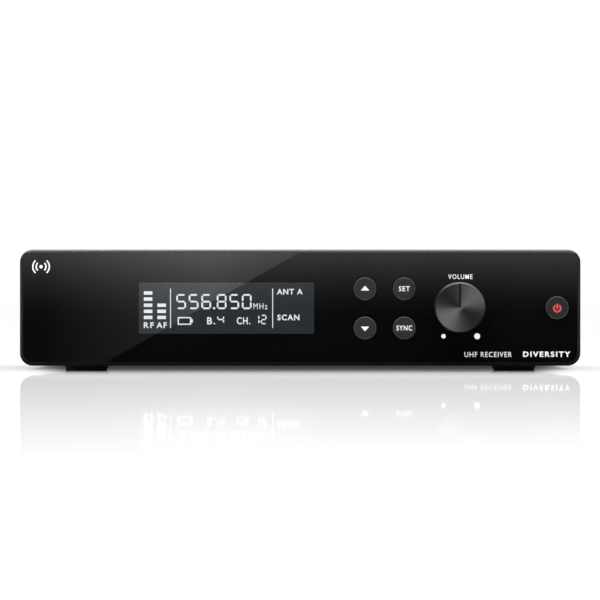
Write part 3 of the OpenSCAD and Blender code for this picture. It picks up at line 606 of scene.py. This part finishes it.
def tick_marks(centre, radius, start, end, count):
    """A row of dial ticks round a control."""
    half_width, length = 0.12, 0.9
    meshes = []
    for i in range(count):
        turn = math.radians(start + (end - start) * i / (count - 1))
        out = Vector((math.cos(turn), math.sin(turn)))
        side = Vector((-out.y, out.x)) * half_width
        inner, outer = Vector(centre) + out * radius, Vector(centre) + out * (radius + length)
        meshes.append(plate([tuple(p) for p in (inner - side, outer - side, outer + side, inner + side)]))
    return meshes


def print_rear_panel():
    """Generic labels on the rear panel. Seen from the rear, +X is to the left."""
    at = {name: -middle(name).x / MM for name in
          ("antenna_socket_a", "antenna_socket_b", "jack_bushing", "squelch_knob", "dc_socket")}
    meshes = [
        word("ANT A", (at["antenna_socket_a"], 13.6), (8.2, 1.7)),
        word("ANT B", (at["antenna_socket_b"], 13.6), (8.2, 1.7)),
        word("AF OUT", (at["jack_bushing"], 12.0), (9.4, 1.7)),
        word("SQUELCH", (at["squelch_knob"], 12.0), (12.5, 1.8)),
        word("DC 12 V", (at["dc_socket"], 3.4), (9.6, 1.7)),
        word("BAL", (30.6, 8.5), (5.0, 1.7)),
        word("UNBAL", (25.4, -11.2), (8.0, 1.7)),
    ]
    meshes += tick_marks((at["squelch_knob"], 0), 7.0, -50, 230, 11)
    printed("rear_print", meshes, (0, REAR_Y, middle("antenna_socket_a").z), "white_ink", ROOT, facing=1)


# ------------------------------------------------------------------ studio

CAMERA_DISTANCE = 1.55                       # from the front panel
CAMERA_X = -0.00007                          # the picture's middle, against the panel's
CAMERA_HEIGHT = 0.02527
VIEW_WIDTH = 0.21394                         # how much of the front panel's plane the picture takes in
SENSOR = 36.0

# How strongly the floor mirrors, by the distance in front of the panel in metres. Less than 0 is behind it.
MIRROR_SHARE = [
    (-0.15, 0.24), (-0.075, 0.25), (-0.052, 0.36), (-0.03, 0.56), (-0.008, 0.9),
    (0.0, 0.9), (0.014, 0.79), (0.035, 0.64), (0.056, 0.52), (0.076, 0.43), (0.095, 0.385), (0.114, 0.365),
    (0.19, 0.41), (0.458, 0.38), (0.641, 0.32), (0.772, 0.27), (0.87, 0.22), (1.0, 0.17), (1.2, 0.15),
    (1.35, 0.02)]
MIRROR_BACK, MIRROR_FRONT = MIRROR_SHARE[0][0], MIRROR_SHARE[-1][0]
SIDE_SHARE = 0.06                            # how strongly it mirrors past the object's sides
FLOOR_HALF = 12.0


def make_camera():
    """A level camera with a long lens, straight in front of the panel."""
    data = bpy.data.cameras.new("camera")
    data.sensor_width = SENSOR
    data.lens = SENSOR * CAMERA_DISTANCE / VIEW_WIDTH
    data.clip_start = 0.01
    data.clip_end = 50
    camera = bpy.data.objects.new("camera", data)
    camera.location = (CAMERA_X, PANEL_Y - CAMERA_DISTANCE, CAMERA_HEIGHT)
    camera.rotation_euler = (math.radians(90), 0, 0)
    bpy.context.scene.collection.objects.link(camera)
    bpy.context.scene.camera = camera


def stage_material(name):
    """A material whose shader is still to be made, and its node tree."""
    made, tree, shader = new_material(name)
    tree.nodes.remove(shader)
    return made, tree


def show(tree, shader):
    """Makes a shader the surface of its material."""
    tree.links.new(shader.outputs[0], tree.nodes["Material Output"].inputs["Surface"])


def add_plane(name, corners, material):
    """A four-cornered stage surface."""
    made = bpy.data.meshes.new(name)
    made.from_pydata(corners, [], [(0, 1, 2, 3)])
    made.materials.append(material)
    surface = bpy.data.objects.new(name, made)
    bpy.context.scene.collection.objects.link(surface)
    return surface


def add_glow(name, y, left, right, bottom, top, material):
    """An upright card that only reflections see."""
    corners = [(left, y, bottom), (right, y, bottom), (right, y, top), (left, y, top)]
    card = add_plane(name, corners, material)
    card.visible_camera = False
    card.visible_diffuse = False
    card.visible_shadow = False
    return card


def make_floor():
    """A white floor whose mirror image is strongest at the panel and dies away in front of the object."""
    made, tree = stage_material("floor_white")
    place = axes(tree, here(tree))
    ahead = span(tree, place["Y"], 0.0, 1.0, PANEL_Y - MIRROR_BACK, PANEL_Y - MIRROR_FRONT)
    ramp = node(tree, "ValToRGB", {"Fac": ahead})
    stops = ramp.color_ramp.elements
    for end in (0, -1):
        stops[end].color = grey(MIRROR_SHARE[end][1])
    for distance, level in MIRROR_SHARE[1:-1]:
        at = (distance - MIRROR_BACK) / (MIRROR_FRONT - MIRROR_BACK)
        stops.new(at).color = grey(level)
    aside = mask(tree, maths(tree, "ABSOLUTE", place["X"]), 0.11, 0.2)
    share = node(tree, "Mix", {0: aside, 2: ramp.outputs["Color"]}, {3: SIDE_SHARE}).outputs[0]
    chalk = node(tree, "BsdfDiffuse", values={"Color": grey(0.6)})
    mirror = node(tree, "BsdfGlossy", values={"Color": grey(1), "Roughness": 0.02})
    show(tree, node(tree, "MixShader", {0: share, 1: chalk.outputs[0], 2: mirror.outputs[0]}))
    half = FLOOR_HALF
    corners = [(-half, -half, 0), (half, -half, 0), (half, half, 0), (-half, half, 0)]
    floor = add_plane("floor", corners, made)
    floor.visible_glossy = False
    floor.visible_transmission = False
    return floor


def make_baffle():
    """A card under the object's rear, seen only in reflections, that paints shade into the floor's mirror
    image so that it doesn't look through there.
    """
    dusk, tree = stage_material("baffle_dusk")
    low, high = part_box("front_bezel")
    # its painted light is brighter towards both ends, where the mirror image meets the white floor
    across = maths(tree, "ABSOLUTE", axes(tree, here(tree))["X"])
    glow = mask(tree, across, high.x - 12 * MM, high.x + 4 * MM, 0.2, 0.9)
    shine = node(tree, "Emission", {"Strength": glow}, {"Color": grey(1)})
    clear = node(tree, "BsdfTransparent")
    from_behind = node(tree, "NewGeometry").outputs["Backfacing"]
    show(tree, node(tree, "MixShader", {0: from_behind, 1: shine.outputs[0], 2: clear.outputs[0]}))
    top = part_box("chassis_tray")[0].z + 1 * MM
    spare = 5 * MM
    add_glow("baffle", REAR_Y, low.x - spare, high.x + spare, 0, top, dusk)


def make_world():
    """White to the camera. The object is lit by a bright sky with a dark patch straight in front."""
    world = bpy.data.worlds.new("studio")
    bpy.context.scene.world = world
    world.use_nodes = True
    tree = world.node_tree
    way = axes(tree, node(tree, "TexCoord").outputs["Generated"])
    patch = product(
        tree,
        mask(tree, maths(tree, "ABSOLUTE", way["X"]), 0.30, 0.10),
        mask(tree, maths(tree, "ABSOLUTE", way["Z"]), 0.20, 0.05),
        maths(tree, "LESS_THAN", way["Y"], 0.0))
    # the sky is bright behind the object and overhead, dimmer on the left, and dark in front, on the right
    # and below the horizon
    behind = span(tree, way["Y"], 0.1, 0.95, -0.45, 0.1)
    left = span(tree, way["X"], 0.5, 1.0, -0.35, -0.07)
    right = span(tree, way["X"], 1.0, 0.12, 0.07, 0.35)
    overhead = span(tree, way["Z"], 0.0, 1.3, 0.5, 1.0)
    ground = span(tree, way["Z"], 0.04, 1.0, -0.12, 0.0)
    sky = product(tree, maths(tree, "ADD", product(tree, behind, left, right), overhead), ground)
    lighting = node(tree, "Mix", {0: patch, 2: sky}, {3: 0.035}).outputs[0]
    seen = node(tree, "LightPath").outputs["Is Camera Ray"]
    strength = node(tree, "Mix", {0: seen, 2: lighting}, {3: 1.0}).outputs[0]
    background = tree.nodes["Background"]
    background.inputs["Color"].default_value = grey(1)
    tree.links.new(strength, background.inputs["Strength"])


def make_reflected_card():
    """A card behind the camera that only reflections see. It puts the slanting sheen on the panel."""
    reach = 2 * CAMERA_DISTANCE
    grow = 1 + reach / CAMERA_DISTANCE

    def on_card(x, z):
        """Where the card shows in the panel at x, z in mm, with z above the surface the feet stand on."""
        return x * grow * MM, (CAMERA_HEIGHT / MM + (z - CAMERA_HEIGHT / MM) * grow) * MM

    made, tree = stage_material("card_glow")
    place = axes(tree, here(tree))
    # the sheen ends at a slanting line through these two points of the panel
    foot_x, foot_z = on_card(-68.5, 3.4)
    head_x, head_z = on_card(-0.5, 41.94)
    edge_softness = 0.6 * MM
    lean = (head_z - foot_z) / (head_x - foot_x)
    edge = foot_z - lean * foot_x
    over_line = maths(tree, "SUBTRACT", place["Z"], maths(tree, "MULTIPLY", place["X"], lean))
    inside = mask(tree, over_line, edge, edge + edge_softness)
    # it is brightest at the top, and from there it fades downwards and to both sides
    left_x, top_z = on_card(-91, 42.1)
    peak_x, fade_z = on_card(-32, 12)
    height = maths(tree, "POWER", span(tree, place["Z"], 0.0, 1.0, fade_z, top_z), 1.6)
    level = span(tree, height, 0.28, 1.0, 0.0, 1.0)
    rise = span(tree, place["X"], 0.03, 1.0, left_x, peak_x)
    fall = span(tree, place["X"], 1.0, 0.42, peak_x, head_x)
    sheen = product(tree, product(tree, inside, level), product(tree, rise, fall))
    # a fainter strip of light runs along the whole top of the panel
    strip_z = on_card(0, 17)[1]
    strip = maths(tree, "POWER", span(tree, place["Z"], 0.0, 1.0, strip_z, top_z), 2.2)
    sheen_strength, strip_strength = 1.36, 0.86
    total = maths(tree, "ADD", maths(tree, "MULTIPLY", sheen, sheen_strength),
                  maths(tree, "MULTIPLY", strip, strip_strength))
    show(tree, node(tree, "Emission", {"Strength": total}, {"Color": (1, 0.99, 0.97, 1)}))
    (left, bottom), (right, top) = on_card(-115, -10), on_card(115, 60)
    card = add_glow("card", PANEL_Y - reach, left, right, bottom, top, made)
    card.visible_transmission = False


def softbox(name, place, target, size, power):
    """A rectangular soft light that looks at a point."""
    data = bpy.data.lights.new(name, "AREA")
    data.shape = "RECTANGLE"
    data.size, data.size_y = size
    data.energy = power
    light = bpy.data.objects.new(name, data)
    light.location = place
    light.rotation_mode = "QUATERNION"
    light.rotation_quaternion = (Vector(target) - Vector(place)).to_track_quat("-Z", "Y")
    light.visible_camera = False
    bpy.context.scene.collection.objects.link(light)
    return light


def make_lights(floor):
    """A wide light from above, and a softbox at the upper right that draws bright wedges on the knob."""
    data = bpy.data.lights.new("overhead", "SUN")
    data.energy = 2.6
    data.angle = math.radians(70)
    light = bpy.data.objects.new("overhead", data)
    light.rotation_euler = (math.radians(-12), 0, 0)
    bpy.context.scene.collection.objects.link(light)
    knob = middle("volume_knob")
    turn = math.radians(35)
    way = Vector((math.cos(turn), -1.25, math.sin(turn))) * 0.9
    # one copy is for the knob, and one for the floor, whose mirror image leaves the softbox out
    for name, lit_object in (("side_on_knob", NODES["volume_knob"]), ("side_on_floor", floor)):
        side = softbox(name, knob + way, knob, (1.3, 1.0), 15)
        side.visible_glossy = lit_object is not floor
        receivers = bpy.data.collections.new("lit_by_" + name)
        receivers.objects.link(lit_object)
        side.light_linking.receiver_collection = receivers


bpy.context.scene.view_settings.view_transform = "Standard"
make_camera()
dress_nodes()
soften(*FOLDED_SHEETS)
soften(*FITTINGS)
print_front_panel()
print_keys()
draw_display()
print_rear_panel()
floor_plane = make_floor()
make_baffle()
make_world()
make_reflected_card()
make_lights(floor_plane)
